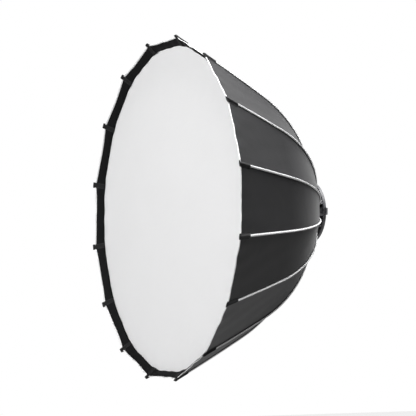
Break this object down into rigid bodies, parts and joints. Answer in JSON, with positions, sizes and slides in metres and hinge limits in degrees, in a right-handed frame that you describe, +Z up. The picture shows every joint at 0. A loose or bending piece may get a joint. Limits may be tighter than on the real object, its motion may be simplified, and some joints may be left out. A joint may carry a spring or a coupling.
{
  "type": "parabolic softbox",
  "caption": "Deep parabolic folding softbox: black panels on sprung rods, a recessed white front diffuser, and a round hub with a bayonet ring.",
  "frame": {"origin": "centre of the bayonet ring's seat face, where the light's front ring rests", "axes": "+Y along the optical axis towards the light, -Y towards the opening, +Z up"},
  "size_m": [1.1904, 0.6177, 1.1904],
  "materials": {
    "bayonet_aluminium": "satin anodised",
    "hub_plastic": "moulded, fine texture",
    "cover_plastic": "moulded, fine texture",
    "socket_plastic": "glass-filled nylon",
    "release_plastic": "moulded, satin",
    "screw_steel": "black zinc",
    "pin_steel": "ground",
    "spring_steel": "drawn wire",
    "rod_steel": "spring steel",
    "canopy_fabric": "black coated polyester outside, silver inside",
    "collar_fabric": "black polyester",
    "diffuser_fabric": "white translucent nylon",
    "baffle_fabric": "white translucent nylon",
    "strap_elastic": "black elastic webbing"
  },
  "bodies": {
    "hub": {"bayonet_ring": "bayonet_aluminium", "hub_ring": "hub_plastic", "keeper_ring": "hub_plastic", "hub_screws": "screw_steel", "hinge_pins": "pin_steel", "rear_cover": "cover_plastic", "return_springs": "spring_steel", "rear_collar": "collar_fabric", "front_diffuser": "diffuser_fabric", "inner_baffle": "baffle_fabric", "baffle_straps": "strap_elastic"},
    "release": {"release_ring": "release_plastic"},
    "rib_01": {"rod_01": "rod_steel", "socket_01": "socket_plastic", "canopy_panel_01": "canopy_fabric"},
    "rib_02": {"rod_02": "rod_steel", "socket_02": "socket_plastic", "canopy_panel_02": "canopy_fabric"},
    "rib_03": {"rod_03": "rod_steel", "socket_03": "socket_plastic", "canopy_panel_03": "canopy_fabric"},
    "rib_04": {"rod_04": "rod_steel", "socket_04": "socket_plastic", "canopy_panel_04": "canopy_fabric"},
    "rib_05": {"rod_05": "rod_steel", "socket_05": "socket_plastic", "canopy_panel_05": "canopy_fabric"},
    "rib_06": {"rod_06": "rod_steel", "socket_06": "socket_plastic", "canopy_panel_06": "canopy_fabric"},
    "rib_07": {"rod_07": "rod_steel", "socket_07": "socket_plastic", "canopy_panel_07": "canopy_fabric"},
    "rib_08": {"rod_08": "rod_steel", "socket_08": "socket_plastic", "canopy_panel_08": "canopy_fabric"},
    "rib_09": {"rod_09": "rod_steel", "socket_09": "socket_plastic", "canopy_panel_09": "canopy_fabric"},
    "rib_10": {"rod_10": "rod_steel", "socket_10": "socket_plastic", "canopy_panel_10": "canopy_fabric"},
    "rib_11": {"rod_11": "rod_steel", "socket_11": "socket_plastic", "canopy_panel_11": "canopy_fabric"},
    "rib_12": {"rod_12": "rod_steel", "socket_12": "socket_plastic", "canopy_panel_12": "canopy_fabric"},
    "rib_13": {"rod_13": "rod_steel", "socket_13": "socket_plastic", "canopy_panel_13": "canopy_fabric"},
    "rib_14": {"rod_14": "rod_steel", "socket_14": "socket_plastic", "canopy_panel_14": "canopy_fabric"},
    "rib_15": {"rod_15": "rod_steel", "socket_15": "socket_plastic", "canopy_panel_15": "canopy_fabric"},
    "rib_16": {"rod_16": "rod_steel", "socket_16": "socket_plastic", "canopy_panel_16": "canopy_fabric"}
  },
  "joints": [
    {"name": "fold_01", "type": "hinge", "parent": "hub", "child": "rib_01", "pos_m": [0.08631, -0.024, 0.01717], "axis": [0.1951, 0, -0.9808], "range_deg": [0, 41.5], "deforming": ["canopy_panel_01", "rear_collar", "front_diffuser", "baffle_straps"]},
    {"name": "fold_02", "type": "hinge", "parent": "hub", "child": "rib_02", "pos_m": [0.07317, -0.024, 0.04889], "axis": [0.5556, 0, -0.8315], "range_deg": [0, 41.5], "deforming": ["canopy_panel_02"]},
    {"name": "fold_03", "type": "hinge", "parent": "hub", "child": "rib_03", "pos_m": [0.04889, -0.024, 0.07317], "axis": [0.8315, 0, -0.5556], "range_deg": [0, 41.5], "deforming": ["canopy_panel_03"]},
    {"name": "fold_04", "type": "hinge", "parent": "hub", "child": "rib_04", "pos_m": [0.01717, -0.024, 0.08631], "axis": [0.9808, 0, -0.1951], "range_deg": [0, 41.5], "deforming": ["canopy_panel_04"]},
    {"name": "fold_05", "type": "hinge", "parent": "hub", "child": "rib_05", "pos_m": [-0.01717, -0.024, 0.08631], "axis": [0.9808, 0, 0.1951], "range_deg": [0, 41.5], "deforming": ["canopy_panel_05"]},
    {"name": "fold_06", "type": "hinge", "parent": "hub", "child": "rib_06", "pos_m": [-0.04889, -0.024, 0.07317], "axis": [0.8315, 0, 0.5556], "range_deg": [0, 41.5], "deforming": ["canopy_panel_06"]},
    {"name": "fold_07", "type": "hinge", "parent": "hub", "child": "rib_07", "pos_m": [-0.07317, -0.024, 0.04889], "axis": [0.5556, 0, 0.8315], "range_deg": [0, 41.5], "deforming": ["canopy_panel_07"]},
    {"name": "fold_08", "type": "hinge", "parent": "hub", "child": "rib_08", "pos_m": [-0.08631, -0.024, 0.01717], "axis": [0.1951, 0, 0.9808], "range_deg": [0, 41.5], "deforming": ["canopy_panel_08"]},
    {"name": "fold_09", "type": "hinge", "parent": "hub", "child": "rib_09", "pos_m": [-0.08631, -0.024, -0.01717], "axis": [-0.1951, 0, 0.9808], "range_deg": [0, 41.5], "deforming": ["canopy_panel_09"]},
    {"name": "fold_10", "type": "hinge", "parent": "hub", "child": "rib_10", "pos_m": [-0.07317, -0.024, -0.04889], "axis": [-0.5556, 0, 0.8315], "range_deg": [0, 41.5], "deforming": ["canopy_panel_10"]},
    {"name": "fold_11", "type": "hinge", "parent": "hub", "child": "rib_11", "pos_m": [-0.04889, -0.024, -0.07317], "axis": [-0.8315, 0, 0.5556], "range_deg": [0, 41.5], "deforming": ["canopy_panel_11"]},
    {"name": "fold_12", "type": "hinge", "parent": "hub", "child": "rib_12", "pos_m": [-0.01717, -0.024, -0.08631], "axis": [-0.9808, 0, 0.1951], "range_deg": [0, 41.5], "deforming": ["canopy_panel_12"]},
    {"name": "fold_13", "type": "hinge", "parent": "hub", "child": "rib_13", "pos_m": [0.01717, -0.024, -0.08631], "axis": [-0.9808, 0, -0.1951], "range_deg": [0, 41.5], "deforming": ["canopy_panel_13"]},
    {"name": "fold_14", "type": "hinge", "parent": "hub", "child": "rib_14", "pos_m": [0.04889, -0.024, -0.07317], "axis": [-0.8315, 0, -0.5556], "range_deg": [0, 41.5], "deforming": ["canopy_panel_14"]},
    {"name": "fold_15", "type": "hinge", "parent": "hub", "child": "rib_15", "pos_m": [0.07317, -0.024, -0.04889], "axis": [-0.5556, 0, -0.8315], "range_deg": [0, 41.5], "deforming": ["canopy_panel_15"]},
    {"name": "fold_16", "type": "hinge", "parent": "hub", "child": "rib_16", "pos_m": [0.08631, -0.024, -0.01717], "axis": [-0.1951, 0, -0.9808], "range_deg": [0, 41.5], "deforming": ["canopy_panel_16"]},
    {"name": "release_turn", "type": "hinge", "parent": "hub", "child": "release", "pos_m": [0, -0.009, 0], "axis": [0, -1, 0], "range_deg": [0, 8], "stiffness_Nm_per_rad": 4, "springref_deg": -2.86, "deforming": ["return_springs"]}
  ],
  "couplings": [
    {"joint": "fold_02", "follows": "fold_01", "ratio": 1},
    {"joint": "fold_03", "follows": "fold_01", "ratio": 1},
    {"joint": "fold_04", "follows": "fold_01", "ratio": 1},
    {"joint": "fold_05", "follows": "fold_01", "ratio": 1},
    {"joint": "fold_06", "follows": "fold_01", "ratio": 1},
    {"joint": "fold_07", "follows": "fold_01", "ratio": 1},
    {"joint": "fold_08", "follows": "fold_01", "ratio": 1},
    {"joint": "fold_09", "follows": "fold_01", "ratio": 1},
    {"joint": "fold_10", "follows": "fold_01", "ratio": 1},
    {"joint": "fold_11", "follows": "fold_01", "ratio": 1},
    {"joint": "fold_12", "follows": "fold_01", "ratio": 1},
    {"joint": "fold_13", "follows": "fold_01", "ratio": 1},
    {"joint": "fold_14", "follows": "fold_01", "ratio": 1},
    {"joint": "fold_15", "follows": "fold_01", "ratio": 1},
    {"joint": "fold_16", "follows": "fold_01", "ratio": 1}
  ]
}
